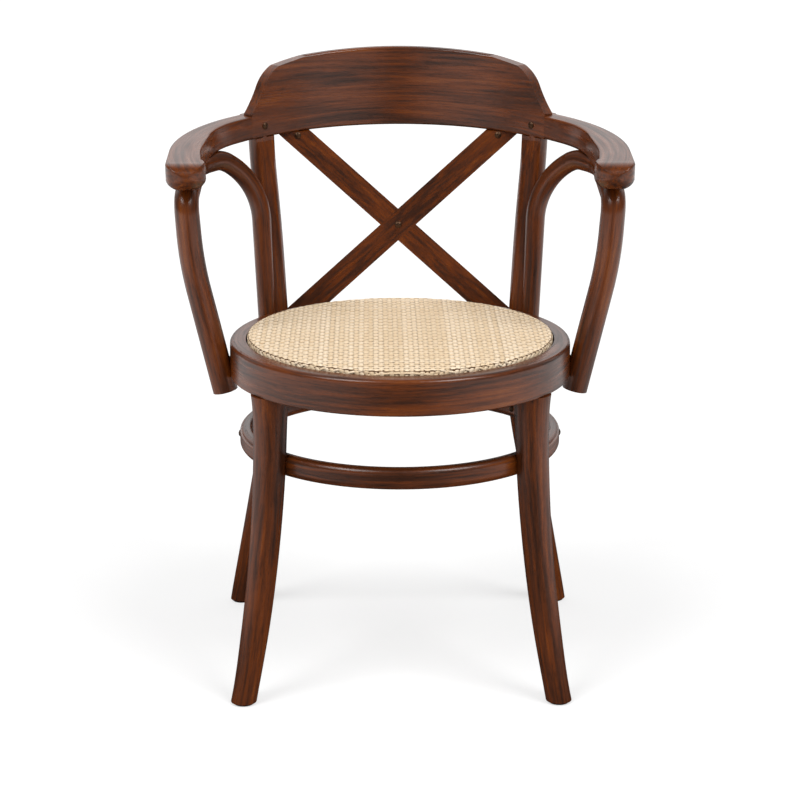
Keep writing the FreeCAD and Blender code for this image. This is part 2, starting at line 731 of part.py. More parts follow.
arm_bow.Shape = shell.shape().makeFillet(value("Sizes.bow_ease"), rod_end)
arm_bow.Placement = Placement(Vector(0, value(SEAT_Y), 0), Rotation())

# Cross slats: two flat bars, half lapped where they cross, dowelled to the rail
# above and lapped on the ring's outer side below.
slope_x = "cos(Sizes.slat_slope)"
slope_z = "sin(Sizes.slat_slope)"
slat_rise = "(Sizes.rail_height - Sizes.slat_cross_height)"
slat_fall = "(Sizes.slat_cross_height - Sizes.slat_foot_height)"


def slat_corners(side):
    """Outline of a slat in its leaning plane, level at both ends."""
    half = f"(Sizes.slat_width / 2 / {slope_z})"
    up_x = f"({slat_rise} / cos(Sizes.slat_lean) / tan(Sizes.slat_slope))"
    down_x = f"({slat_fall} / cos(Sizes.slat_lean) / tan(Sizes.slat_slope))"
    top = f"{slat_rise} / cos(Sizes.slat_lean)"
    bottom = f"-{slat_fall} / cos(Sizes.slat_lean)"
    return [
        (f"{side} * ({up_x} - {half})", top),
        (f"{side} * ({up_x} + {half})", top),
        (f"{side} * ({half} - {down_x})", bottom),
        (f"{side} * (-{half} - {down_x})", bottom),
    ]


def cross_slat(name, side, lap_behind):
    """One slat, rising to the sitter's left for side = 1, with its half lap."""
    body = new_body(name, f"{SEAT_Y} + Sizes.slat_cross_y")
    lean = Rotation(Vector(1, 0, 0), -value("Sizes.slat_lean"))
    body.Placement = Placement(Vector(), lean)
    body.setExpression("Placement.Rotation.Angle", "-Sizes.slat_lean")
    body.setExpression("Placement.Base.z", "Sizes.slat_cross_height")
    sketch = new_sketch(body, f"{name}_outline", "XZ_Plane")
    draw_outline(sketch, slat_corners(side))
    pad(body, sketch, "Sizes.slat_thick", both_ways=True)
    sketch = new_sketch(body, f"{name}_lap", "XZ_Plane")
    draw_outline(sketch, slat_corners(-side))
    cut_through(body, sketch, "Sizes.slat_thick", both_ways=False, flip=not lap_behind)
    return body


slat_front = cross_slat("slat_front_blank", 1, True)
slat_rear = cross_slat("slat_rear_blank", -1, False)
above_rail = doc.addObject("Part::Box", "above_rail")
above_rail.Length = 800
above_rail.Width = 400
above_rail.Height = 100
above_rail.Placement = Placement(Vector(-400, 0, 0), Rotation(Vector(1, 0, 0), value("Sizes.bow_tilt")))
above_rail.setExpression("Placement.Rotation.Angle", "Sizes.bow_tilt")
above_rail.setExpression("Placement.Base.y", BOW_Y)
above_rail.setExpression("Placement.Base.z", bow_underside("0"))
doc.recompute()


# Fastenings: dome screws, dowels, bolts and glides.
def dome_screw(length, shank="Sizes.shank_radius", head="Sizes.dome_radius"):
    """A dome headed screw, whose head sits on z = 0 and whose shank points down."""
    shank_radius = value(shank)
    head_radius = value(head)
    rise = value("Sizes.dome_rise")
    lip = rise * 0.3
    ball_radius = (head_radius ** 2 + (rise - lip) ** 2) / (2 * (rise - lip))
    ball_height = rise - ball_radius
    side = head_radius / 2
    shoulder = ball_height + math.sqrt(ball_radius ** 2 - side ** 2)
    profile = Part.Wire([
        Part.LineSegment(Vector(0, 0, -length), Vector(shank_radius, 0, -length)).toShape(),
        Part.LineSegment(Vector(shank_radius, 0, -length), Vector(shank_radius, 0, 0)).toShape(),
        Part.LineSegment(Vector(shank_radius, 0, 0), Vector(head_radius, 0, 0)).toShape(),
        Part.LineSegment(Vector(head_radius, 0, 0), Vector(head_radius, 0, lip)).toShape(),
        Part.Arc(Vector(head_radius, 0, lip), Vector(side, 0, shoulder),
                 Vector(0, 0, rise)).toShape(),
        Part.LineSegment(Vector(0, 0, rise), Vector(0, 0, -length)).toShape(),
    ])
    return Part.Face(profile).revolve(Vector(), Vector(0, 0, 1), 360)


def rod(length, radius):
    """A plain rod, half of it on each side of z = 0."""
    return Part.makeCylinder(radius, length, Vector(0, 0, -length / 2))


def set_in(shape, point, direction):
    """Copy a fastening to a point, with its head towards direction."""
    copy = shape.copy()
    copy.Placement = Placement(point, Rotation(Vector(0, 0, 1), direction))
    return copy


def flip_side(shape):
    return shape.mirror(Vector(), Vector(1, 0, 0))


def group(name, shapes, y=SEAT_Y):
    """One node of like fastenings, as separate solids."""
    piece = doc.addObject("Part::Feature", name)
    piece.Shape = Part.Compound(shapes)
    piece.Placement = Placement(Vector(0, value(y), 0), Rotation())
    return piece


def both_sides(shapes):
    return shapes + [flip_side(shape) for shape in shapes]


def bow_point(angle, radius, up):
    """Point of the bow at an angle from the middle, up from the underside."""
    x = radius * math.sin(math.radians(angle))
    y = radius * math.cos(math.radians(angle))
    return Vector(x, y, value(bow_underside(str(y))) + up)


def bow_outward(angle):
    return Vector(math.sin(math.radians(angle)), math.cos(math.radians(angle)), 0)


bow_radius = value("Sizes.bow_radius")
rail_depth = value("Sizes.rail_depth")
rail_thick = value("Sizes.rail_thick")
post_turn = value(post_angle)
rail_screws = group("rail_screws", both_sides([
    set_in(dome_screw(rail_thick - 4), bow_point(post_turn, bow_radius, rail_depth / 2),
           bow_outward(post_turn) * -1),
]), BOW_Y)

# The slats' screws sit in their own plane, at the crossing and just under the rail,
# beside the dowels that join the slats to the rail.
lean = math.radians(value("Sizes.slat_lean"))
slat_thick = value("Sizes.slat_thick")
slat_forward = Vector(0, -math.cos(lean), math.sin(lean))
slat_up = Vector(0, math.sin(lean), math.cos(lean))
cross_point = Vector(0, value("Sizes.slat_cross_y"), value("Sizes.slat_cross_height"))


def slat_point(up):
    """Point on the front face of the left rising slat, up from the crossing."""
    along = up / math.tan(math.radians(value("Sizes.slat_slope")))
    climb = Vector(along, up * math.sin(lean), up * math.cos(lean))
    return cross_point + climb + slat_forward * (slat_thick / 2)


slat_rise_value = value(slat_rise) / math.cos(lean)
slat_pins = group("slat_pins", both_sides([
    set_in(dome_screw(slat_thick - 3), slat_point(slat_rise_value - value("Sizes.slat_pin_drop")),
           slat_forward),
]))
slat_dowels = group("slat_dowels", both_sides([
    set_in(rod(value("Sizes.slat_dowel_length"), value("Sizes.slat_dowel_radius")),
           slat_point(slat_rise_value - 2) - slat_forward * (slat_thick / 2), slat_up),
]))
cross_screw = group("cross_screw", [
    set_in(dome_screw(slat_thick - 2), slat_point(0), slat_forward),
])

# The slats' feet are screwed to the ring from behind.
slat_fall_value = value(slat_fall) / math.cos(lean)
foot_screw_point = slat_point(18 - slat_fall_value) - slat_forward * slat_thick
slat_foot_screws = group("slat_foot_screws", both_sides([
    set_in(dome_screw(30), foot_screw_point, slat_forward * -1),
]))

# The hoop has a screw on each side through its scarf joint, and one into each leg.
hoop_height = value("Sizes.hoop_height")
hoop_radius = value("Sizes.hoop_radius")
hoop_wall = value("Sizes.hoop_wall")
hoop_centre = Vector(0, value("Sizes.hoop_centre_y"), hoop_height)
hoop_side_screws = group("hoop_side_screws", both_sides([
    set_in(dome_screw(hoop_wall - 4), hoop_centre + Vector(hoop_radius, 0, 0), Vector(1, 0, 0)),
]))


def hoop_leg_screw(leg_x, leg_y):
    """A screw from inside the hoop into a leg."""
    outward = Vector(leg_x, leg_y - hoop_centre.y, 0).normalize()
    inside = hoop_centre + outward * (hoop_radius - hoop_wall)
    return set_in(dome_screw(hoop_wall + 14), inside, outward * -1)


leg_turn = math.radians(value("Sizes.leg_angle"))
leg_share = 1 - (hoop_height - value("Sizes.glide_thick")) / value(LEG_LENGTH)
leg_top_reach = value("Sizes.leg_top_reach")
leg_foot_reach = value("Sizes.leg_foot_reach")
leg_reach = leg_top_reach + (leg_foot_reach - leg_top_reach) * leg_share ** 2
post_at_hoop_x = value(post_place("x", "Sizes.hoop_height"))
post_at_hoop_y = value(post_place("y", "Sizes.hoop_height"))
hoop_leg_screws = group("hoop_leg_screws", both_sides([
    hoop_leg_screw(leg_reach * math.cos(leg_turn), -leg_reach * math.sin(leg_turn)),
    hoop_leg_screw(post_at_hoop_x, post_at_hoop_y),
]))

# Each rear post is bolted through the ring, with the bolt's dome behind and a
# flanged barrel nut inside the ring.
bolt_height = value(f"{RING_BOTTOM} + Sizes.ring_depth / 2")
post_at_ring = Vector(value(post_place("x", str(bolt_height))),
                      value(post_place("y", str(bolt_height))), bolt_height)
post_outward = Vector(post_at_ring.x, post_at_ring.y, 0).normalize()
post_mid_radius = value("Sizes.post_mid_radius")
seat_radius = value("Sizes.seat_radius")
ring_inside = value(ring_inner)
bolt_seat = post_at_ring + post_outward * (post_mid_radius - 1)
bolt_length = bolt_seat.distanceToPoint(Vector(0, 0, bolt_height)) - ring_inside
post_bolts = group("post_bolts", both_sides([
    set_in(dome_screw(bolt_length - 2, "Sizes.bolt_radius", "Sizes.nut_radius"),
           bolt_seat, post_outward),
]))
nut = Part.makeCylinder(value("Sizes.nut_radius"), 2.5)
nut = nut.fuse(Part.makeCylinder(value("Sizes.bolt_radius") + 1.5, 14, Vector(0, 0, -14)))
post_nuts = group("post_nuts", both_sides([
    set_in(nut.removeSplitter(), post_outward * (ring_inside - 0.4) + Vector(0, 0, bolt_height),
           post_outward * -1),
]))


# The arm bows are screwed from inside the ring and up into the arms.
def ring_screw(x, y, length):
    """A screw from inside the ring into a limb at x, y."""
    outward = Vector(x, y, 0).normalize()
    inside = outward * (ring_inside - 0.4) + Vector(0, 0, bolt_height)
    return set_in(dome_screw(length), inside, outward * -1)


tail_x = bow_corners[-1][0].x
tail_y = bow_corners[-1][0].y
limb_x = foot_x + (bolt_height - foot_height) * 40.8 / 173
bow_ring_screws = group("bow_ring_screws", both_sides([
    ring_screw(limb_x, front_y, value("Sizes.ring_wall") + 18),
    ring_screw(tail_x, tail_y + 2, value("Sizes.ring_wall") + 12),
]))
under_edge = bow_path.Edges[4]


def arm_screw(share):
    """A screw up through the bow's level run into the arm."""
    first, last = under_edge.ParameterRange
    centre = under_edge.valueAt(first + (last - first) * share)
    thick = shoulder_radius + (middle_radius - shoulder_radius) * share
    down = Vector(0, math.sin(math.radians(value("Sizes.bow_tilt"))),
                  -math.cos(math.radians(value("Sizes.bow_tilt"))))
    return set_in(dome_screw(2 * thick + 16), centre + down * (thick - 0.6), down)


bow_arm_screws = group("bow_arm_screws", both_sides([arm_screw(0.2), arm_screw(0.8)]))

# Dowels in the butt joints of the arms and under the crest.
joint_angle = value("Sizes.rail_half_angle")
dowel_radius = value("Sizes.dowel_radius")
dowel_length = value("Sizes.dowel_length")
joint_way = Vector(math.cos(math.radians(joint_angle)), -math.sin(math.radians(joint_angle)), 0)
arm_dowels = group("arm_dowels", both_sides([
    set_in(rod(dowel_length, dowel_radius),
           bow_point(joint_angle, bow_radius + rail_thick / 2, rail_depth * share), joint_way)
    for share in (0.28, 0.72)
]), BOW_Y)
crest_thick = value("Sizes.crest_thick")
crest_dowels = group("crest_dowels", both_sides([
    set_in(rod(dowel_length * 0.8, dowel_radius),
           bow_point(angle, bow_radius + crest_thick / 2, rail_depth), Vector(0, 0, 1))
    for angle in (9, 27)
]), BOW_Y)

# Four screws hold the seat board down on the ledge, from below.
ledge_middle = (ring_inside + value(board_radius)) / 2
board_screws = group("board_screws", [
    set_in(dome_screw(value("Sizes.ring_depth - Sizes.rebate_depth") + 8),
           Vector(ledge_middle * math.cos(math.radians(angle)),
                  ledge_middle * math.sin(math.radians(angle)), value(RING_BOTTOM)),
           Vector(0, 0, -1))
    for angle in (0, 90, 180, 270)
])

# Foot glides: a hard disc under each foot.
glide_thick = value("Sizes.glide_thick")
glide = Part.makeCylinder(value("Sizes.glide_radius"), glide_thick)
front_foot = Vector(leg_foot_reach * math.cos(leg_turn), -leg_foot_reach * math.sin(leg_turn), 0)
rear_foot = Vector(value(post_place("x", "Sizes.glide_thick")),
                   value(post_place("y", "Sizes.glide_thick")), 0)
foot_glides = group("foot_glides", both_sides([
    set_in(glide, front_foot, Vector(0, 0, 1)),
    set_in(glide, rear_foot, Vector(0, 0, 1)),
]))

# The joints are cut by the pieces that fill them. The right hand pieces are the
# left hand ones, mirrored.
front_leg_left = carve("front_leg_left", front_leg, [hoop_blank, hoop_leg_screws])
rear_post_left = carve("rear_post_left", rear_post,
                       [hoop_blank, hoop_leg_screws, post_bolts, rail_screws])
arm_left = carve("arm_left", arm_left_blank, [arm_dowels, bow_arm_screws])
arm_bow_left = carve("arm_bow_left", arm_bow,
                     [rear_post, arm_left_blank, bow_ring_screws, bow_arm_screws])
leg_right = mirrored("front_leg_right_blank", front_leg)
post_right = mirrored("rear_post_right_blank", rear_post)
bow_right = mirrored("arm_bow_right_blank", arm_bow)
nodes = {
    "seat_ring": carve("seat_ring", ring_blank,
                       [front_leg, leg_right, rear_post, post_right, arm_bow, bow_right,
                        slat_front, slat_rear, board_screws, post_bolts, post_nuts,
                        bow_ring_screws, slat_foot_screws]),
    "seat_board": carve("seat_board", board_blank, [board_screws]),
    "cane_seat": cane_seat,
    "front_leg_left": front_leg_left,
    "front_leg_right": mirrored("front_leg_right", front_leg_left),
    "rear_post_left": rear_post_left,
    "rear_post_right": mirrored("rear_post_right", rear_post_left),
    "hoop_stretcher": carve("hoop_stretcher", hoop_blank, [hoop_leg_screws, hoop_side_screws]),
    "back_rail": carve("back_rail", rail_blank,
                       [rear_post, post_right, slat_dowels, rail_screws, arm_dowels,
                        crest_dowels]),
    "crest": carve("crest", crest_blank, [crest_dowels]),
    "arm_left": arm_left,
    "arm_right": mirrored("arm_right", arm_left),
    "arm_bow_left": arm_bow_left,
    "arm_bow_right": mirrored("arm_bow_right", arm_bow_left),
    "cross_slat_front": carve("cross_slat_front", slat_front,
                              [above_rail, slat_dowels, slat_pins, cross_screw,
                               slat_foot_screws]),
    "cross_slat_rear": carve("cross_slat_rear", slat_rear,
                             [above_rail, slat_dowels, slat_pins, cross_screw,
                              slat_foot_screws]),
    "rail_screws": rail_screws,
    "slat_pins": slat_pins,
    "slat_dowels": slat_dowels,
    "cross_screw": cross_screw,
    "slat_foot_screws": slat_foot_screws,
    "hoop_side_screws": hoop_side_screws,
    "hoop_leg_screws": hoop_leg_screws,
    "post_bolts": post_bolts,
    "post_nuts": post_nuts,
    "bow_ring_screws": bow_ring_screws,
    "bow_arm_screws": bow_arm_screws,
    "arm_dowels": arm_dowels,
    "crest_dowels": crest_dowels,
    "board_screws": board_screws,
    "foot_glides": foot_glides,
}
doc.recompute()

for item in doc.Objects:
    if "Invalid" in item.State or "Error" in item.State:
        raise ValueError(f"{item.Name} failed: {item.State}")
os.makedirs("parts", exist_ok=True)
for name, piece in nodes.items():
    piece.Label = name
    if piece.Shape.isNull() or not piece.Shape.isValid():
        raise ValueError(f"{name} has no valid shape")
    print(name, len(piece.Shape.Solids), round(piece.Shape.Volume / 1000, 2), "cm3")
    piece.Shape.exportStep(f"parts/{name}.step")
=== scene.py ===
import math
import random

import bmesh
import bpy
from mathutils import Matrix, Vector


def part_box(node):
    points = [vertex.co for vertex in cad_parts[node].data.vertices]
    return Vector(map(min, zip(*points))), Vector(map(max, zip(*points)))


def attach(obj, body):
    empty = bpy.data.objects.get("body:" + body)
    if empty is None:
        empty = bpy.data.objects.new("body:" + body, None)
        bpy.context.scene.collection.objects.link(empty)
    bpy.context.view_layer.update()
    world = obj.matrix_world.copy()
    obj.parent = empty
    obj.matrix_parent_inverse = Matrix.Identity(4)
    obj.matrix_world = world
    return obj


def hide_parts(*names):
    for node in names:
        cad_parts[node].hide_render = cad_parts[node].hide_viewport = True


# The chair as it is built: every piece below is fitted to it, in metres, with the floor
# at z = 0, the sitter facing -Y and the sitter's left on +X.
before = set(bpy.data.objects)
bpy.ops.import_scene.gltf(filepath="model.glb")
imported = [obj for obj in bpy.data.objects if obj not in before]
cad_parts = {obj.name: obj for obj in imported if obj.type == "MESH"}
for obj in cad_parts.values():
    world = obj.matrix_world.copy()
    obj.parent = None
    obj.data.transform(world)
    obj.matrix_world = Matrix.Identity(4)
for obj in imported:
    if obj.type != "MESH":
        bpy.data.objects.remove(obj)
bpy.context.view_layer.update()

# The photographer's stand: a long lens, a little above the seat, looking down at the
# chair from straight in front, as for a catalogue picture.
LENS = 104.7
SENSOR_WIDTH = 36.0
EYE = Vector((-0.0374, -3.024, 1.2061))
PITCH_DOWN = math.radians(15.58)
HEADING = math.radians(-0.716)
camera_data = bpy.data.cameras.new("camera")
camera_data.lens = LENS
camera_data.sensor_width = SENSOR_WIDTH
camera = bpy.data.objects.new("camera", camera_data)
camera.location = EYE
camera.rotation_euler = (math.pi / 2 - PITCH_DOWN, 0.0, HEADING)
bpy.context.scene.collection.objects.link(camera)
bpy.context.scene.camera = camera
bpy.context.scene.view_settings.view_transform = "Standard"


# The studio: a wide sheet of white matt paper that keeps a faint shadow, white
# surroundings, and two wide soft lamps high in front, one on each side. Lacquer mirrors
# a darker room and a bright wall behind. What it mirrors of the paper is a painted pool
# of light: the paper's colour in reflections is dark under the chair and bright at the sides.
def add_node(tree, kind, inputs=None, **settings):
    """Add a shader node. inputs gives its sockets a value or another node's output."""
    made = tree.nodes.new("ShaderNode" + kind)
    for name, setting in settings.items():
        setattr(made, name, setting)
    for socket, source in (inputs or {}).items():
        if isinstance(source, bpy.types.NodeSocket):
            tree.links.new(source, made.inputs[socket])
        else:
            made.inputs[socket].default_value = source
    return made


def blank_material(name):
    """A new material with nothing in it yet, and its node tree."""
    material = bpy.data.materials.new(name)
    material.use_nodes = True
    material.node_tree.nodes.clear()
    return material, material.node_tree


FLOOR_HALF = 30.0
PAPER_GREY = (0.82, 0.82, 0.82, 1)
PAPER_SHARE = 0.42
POOL_START = 0.5
POOL_FULL = 1.5
SURROUND_LIGHT = 0.55
FRONT_GLOSS = 0.08
BACK_GLOSS = 1.3
LAMP_POWER = 1.45
LAMP_WIDTH = math.radians(26)
LAMP_TURN = math.radians(48)
LAMP_HEIGHT = math.radians(50)

paper, tree = blank_material("white studio paper")
ray = add_node(tree, "LightPath")
matt = add_node(tree, "BsdfDiffuse", {"Color": PAPER_GREY})
seen_matt = add_node(tree, "BsdfDiffuse", {"Color": (PAPER_SHARE,) * 3 + (1,)})
seen_white = add_node(tree, "Emission", {"Strength": 1.0 - PAPER_SHARE})
seen = add_node(tree, "AddShader", {0: seen_matt.outputs[0], 1: seen_white.outputs[0]})
place = add_node(tree, "TexCoord").outputs["Object"]
place = add_node(tree, "SeparateXYZ", {0: place})
aside = add_node(tree, "Math", {0: place.outputs["X"]}, operation="ABSOLUTE")
# Painted pool of light: the paper's colour seen in reflections goes from dark under the chair to
# bright at the sides.
painted_light_pool = add_node(tree, "MapRange", {
    "Value": aside.outputs[0], "From Min": POOL_START, "From Max": POOL_FULL,
    "To Min": 0.04, "To Max": 0.95})
painted_pool_matt = add_node(tree, "BsdfDiffuse", {"Color": painted_light_pool.outputs[0]})
unseen = add_node(tree, "MixShader", {
    0: ray.outputs["Is Glossy Ray"], 1: matt.outputs[0], 2: painted_pool_matt.outputs[0]})
sheet = add_node(tree, "MixShader", {
    0: ray.outputs["Is Camera Ray"], 1: unseen.outputs[0], 2: seen.outputs[0]})
add_node(tree, "OutputMaterial", {"Surface": sheet.outputs[0]})

floor_shape = bmesh.new()
bmesh.ops.create_grid(floor_shape, x_segments=1, y_segments=1, size=FLOOR_HALF)
floor_mesh = bpy.data.meshes.new("floor")
floor_shape.to_mesh(floor_mesh)
floor_shape.free()
floor_mesh.materials.append(paper)
floor = bpy.data.objects.new("floor", floor_mesh)
bpy.context.scene.collection.objects.link(floor)

surround = bpy.data.worlds.new("studio surround")
surround.use_nodes = True
tree = surround.node_tree
tree.nodes.clear()
ray = add_node(tree, "LightPath")
heading = add_node(tree, "TexCoord").outputs["Generated"]
heading = add_node(tree, "SeparateXYZ", {0: heading})
behind = add_node(tree, "MapRange", {
    "Value": heading.outputs["Y"], "From Min": 0.1, "From Max": 0.9,
    "To Min": FRONT_GLOSS, "To Max": BACK_GLOSS}, interpolation_type="SMOOTHSTEP")
above = add_node(tree, "MapRange", {
    "Value": heading.outputs["Z"], "From Min": 0.05, "From Max": 0.3,
    "To Min": 0.1, "To Max": 1.0}, interpolation_type="SMOOTHSTEP")
mirrored = add_node(tree, "Math", {0: behind.outputs[0], 1: above.outputs[0]},
                    operation="MULTIPLY")
light = add_node(tree, "Mix", {
    0: ray.outputs["Is Glossy Ray"], 2: SURROUND_LIGHT, 3: mirrored.outputs[0]})
light = add_node(tree, "Mix", {0: ray.outputs["Is Camera Ray"], 2: light.outputs[0], 3: 1.0})
white = add_node(tree, "Background", {"Color": (1, 1, 1, 1), "Strength": light.outputs[0]})
add_node(tree, "OutputWorld", {"Surface": white.outputs[0]})
bpy.context.scene.world = surround

for side, name in ((-1, "lamp_left"), (1, "lamp_right")):
    lamp_data = bpy.data.lights.new(name, "SUN")
    lamp_data.energy = LAMP_POWER
    lamp_data.angle = LAMP_WIDTH
    lamp = bpy.data.objects.new(name, lamp_data)
    lamp.rotation_euler = (math.pi / 2 - LAMP_HEIGHT, 0.0, side * LAMP_TURN)
    bpy.context.scene.collection.objects.link(lamp)


# The seat ring: one strip of beech, steamed and bent to a circle. Beech takes a walnut
# stain in long streaks, with short dark pores and broad cloudy patches. The satin
# lacquer sprayed over it gives a soft highlight and a grey sheen on what faces up.
def linear(hex_colour):
    """sRGB hex to the linear colour that the shader wants."""
    channels = [int(hex_colour[i:i + 2], 16) / 255 for i in (1, 3, 5)]
    return tuple(c / 12.92 if c <= 0.04045 else ((c + 0.055) / 1.055) ** 2.4
                 for c in channels) + (1.0,)


STAIN = (("#200e04", 0.28), ("#421e08", 0.42), ("#622d09", 0.55), ("#7b4113", 0.70),
         ("#925b24", 0.85))
STREAK_LONG = 0.110
STREAK_WIDE = 0.0042
CLOUD_LONG = 0.19
CLOUD_WIDE = 0.030
PORE_LONG = 0.011
PORE_WIDE = 0.0008
WANDER_LONG = 0.16
WANDER_WIDE = 0.05
WANDER_REACH = 0.012
CLOUD_SHARE = 0.42
GRAIN_RELIEF = 0.0006


def stained_beech(name, grain, start):
    """Walnut stained beech. grain builds the vector (along, across, through), in metres,
    and start moves the pattern, so that no two pieces are cut alike."""
    material, tree = blank_material("walnut stained beech, " + name)
    shifted = add_node(tree, "VectorMath", {
        0: grain(tree), 1: (start * 0.37, start * 0.11, start * 0.23)}, operation="ADD")
    wander = add_node(tree, "Mapping", {
        "Vector": shifted.outputs[0],
        "Scale": (1 / WANDER_LONG, 1 / WANDER_WIDE, 1 / WANDER_WIDE)})
    wander = add_node(tree, "TexNoise", {
        "Vector": wander.outputs[0], "Scale": 1.0, "Detail": 1.0})
    wander = add_node(tree, "VectorMath", {
        0: wander.outputs["Color"], 1: (0.0, WANDER_REACH, WANDER_REACH)}, operation="MULTIPLY")
    run = add_node(tree, "VectorMath", {0: shifted.outputs[0], 1: wander.outputs[0]},
                   operation="ADD")

    def noise(length, width, detail, roughness=0.55):
        """Noise whose marks have a length along the grain and a width across it."""
        placed = add_node(tree, "Mapping", {
            "Vector": run.outputs[0], "Scale": (1 / length, 1 / width, 1 / width)})
        return add_node(tree, "TexNoise", {"Vector": placed.outputs[0], "Scale": 1.0,
                                           "Detail": detail, "Roughness": roughness}).outputs["Fac"]

    streak = noise(STREAK_LONG, STREAK_WIDE, 4.0, 0.62)
    cloud = noise(CLOUD_LONG, CLOUD_WIDE, 2.0)
    pore = noise(PORE_LONG, PORE_WIDE, 2.0)
    tone = add_node(tree, "Mix", {0: CLOUD_SHARE, 2: streak, 3: cloud})
    pore_mark = add_node(tree, "MapRange", {"Value": pore, "From Min": 0.55, "From Max": 0.72,
                                            "To Min": 0.0, "To Max": 0.11})
    darker = add_node(tree, "Math", {0: tone.outputs[0], 1: pore_mark.outputs[0]},
                      operation="SUBTRACT")
    ramp = add_node(tree, "ValToRGB", {0: darker.outputs[0]})
    ramp.color_ramp.elements.remove(ramp.color_ramp.elements[1])
    for i, (colour, place) in enumerate(STAIN):
        element = ramp.color_ramp.elements[0] if i == 0 else ramp.color_ramp.elements.new(place)
        element.position = place
        element.color = linear(colour)
    gloss = add_node(tree, "MapRange", {"Value": streak, "From Min": 0.3, "From Max": 0.7,
                                        "To Min": 0.36, "To Max": 0.24})
    relief = add_node(tree, "Math", {0: streak, 1: pore_mark.outputs[0]}, operation="SUBTRACT")
    bump = add_node(tree, "Bump", {"Height": relief.outputs[0], "Strength": 0.35,
                                   "Distance": GRAIN_RELIEF})
    lacquer = add_node(tree, "BsdfPrincipled", {
        "Base Color": ramp.outputs["Color"], "Roughness": gloss.outputs[0],
        "Normal": bump.outputs[0], "Coat Weight": 0.12, "Coat Roughness": 0.2, "IOR": 1.45})
    add_node(tree, "OutputMaterial", {"Surface": lacquer.outputs[0]})
    return material


def bent_round(centre, reach, tilt=0.0, joint=1):
    """Grain round an upright axis at centre, reach away from it. The strip's two ends
    meet behind that axis, or in front of it where joint is -1."""
    def grain(tree):
        place = add_node(tree, "TexCoord").outputs["Object"]
        place = add_node(tree, "VectorMath", {0: place, 1: (centre[0], centre[1], 0.0)},
                         operation="SUBTRACT")
        split = add_node(tree, "SeparateXYZ", {0: place.outputs[0]})
        ahead = add_node(tree, "Math", {0: split.outputs["Y"], 1: -joint}, operation="MULTIPLY")
        turn = add_node(tree, "Math", {0: split.outputs["X"], 1: ahead.outputs[0]},
                        operation="ARCTAN2")
        along = add_node(tree, "Math", {0: turn.outputs[0], 1: reach}, operation="MULTIPLY")
        flat = add_node(tree, "CombineXYZ", {"X": split.outputs["X"], "Y": split.outputs["Y"]})
        out = add_node(tree, "VectorMath", {0: flat.outputs[0]}, operation="LENGTH")
        climb = add_node(tree, "Math", {0: split.outputs["Y"], 1: -math.tan(tilt),
                                        2: split.outputs["Z"]}, operation="MULTIPLY_ADD")
        return add_node(tree, "CombineXYZ", {
            "X": along.outputs[0], "Y": climb.outputs[0], "Z": out.outputs["Value"]}).outputs[0]
    return grain


def middle_of(node):
    """Middle of a CAD piece's box."""
    low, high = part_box(node)
    return (low + high) / 2


def finish_cad(node, material):
    """Give a CAD piece its material."""
    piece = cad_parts[node]
    piece.data.materials.clear()
    piece.data.materials.append(material)


ring_low, ring_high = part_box("seat_ring")
ring_middle = middle_of("seat_ring")
finish_cad("seat_ring", stained_beech("seat ring", bent_round(
    (ring_middle.x, ring_middle.y), (ring_high.x - ring_low.x) / 2), 1.0))


# The front legs: turned beech, steamed and bent outward a little towards the floor, and
# held in the ring by round tenons. Their places are given from the seat's middle, not
# from the origin, which only shifts the grain's pattern.
def curved(foot, top):
    """Grain that follows a leg from its top to its foot, bending more and more."""
    def grain(tree):
        place = add_node(tree, "TexCoord").outputs["Object"]
        split = add_node(tree, "SeparateXYZ", {0: place})
        share = add_node(tree, "MapRange", {"Value": split.outputs["Z"], "From Min": top.z,
                                            "From Max": foot.z, "To Min": 0.0, "To Max": 1.0})
        grown = add_node(tree, "Math", {0: share.outputs[0], 1: LEG_CURVE}, operation="POWER")
        span = foot - top
        line = add_node(tree, "VectorMath", {
            0: (span.x, span.y, 0.0), "Scale": grown.outputs[0]}, operation="SCALE")
        local = add_node(tree, "VectorMath", {0: place, 1: line.outputs[0]}, operation="SUBTRACT")
        off = add_node(tree, "SeparateXYZ", {0: local.outputs[0]})
        return add_node(tree, "CombineXYZ", {
            "X": off.outputs["Z"], "Y": off.outputs["X"], "Z": off.outputs["Y"]}).outputs[0]
    return grain


LEG_TOP_REACH = 0.205
LEG_FOOT_REACH = 0.253
LEG_ANGLE = math.radians(35)
LEG_CURVE = 2.0
for side, name in ((1, "left"), (-1, "right")):
    across = Vector((side * math.cos(LEG_ANGLE), -math.sin(LEG_ANGLE), 0.0))
    foot = across * LEG_FOOT_REACH
    top = across * LEG_TOP_REACH
    top.z = ring_low.z
    finish_cad(f"front_leg_{name}", stained_beech(
        f"front leg {name}", curved(foot, top), 3.0 + side))


# The rear posts: one long bent piece each, from the floor past the ring up to the rail.
# The grain runs through the bend, as it does in bent wood. Places are given as above.
POST_FOOT = Vector((0.2305, 0.242, 0.0))
POST_WAIST = Vector((0.163, 0.149, 0.353))
POST_TOP = Vector((0.1885, 0.207, 0.700))
POST_EASE = 0.006


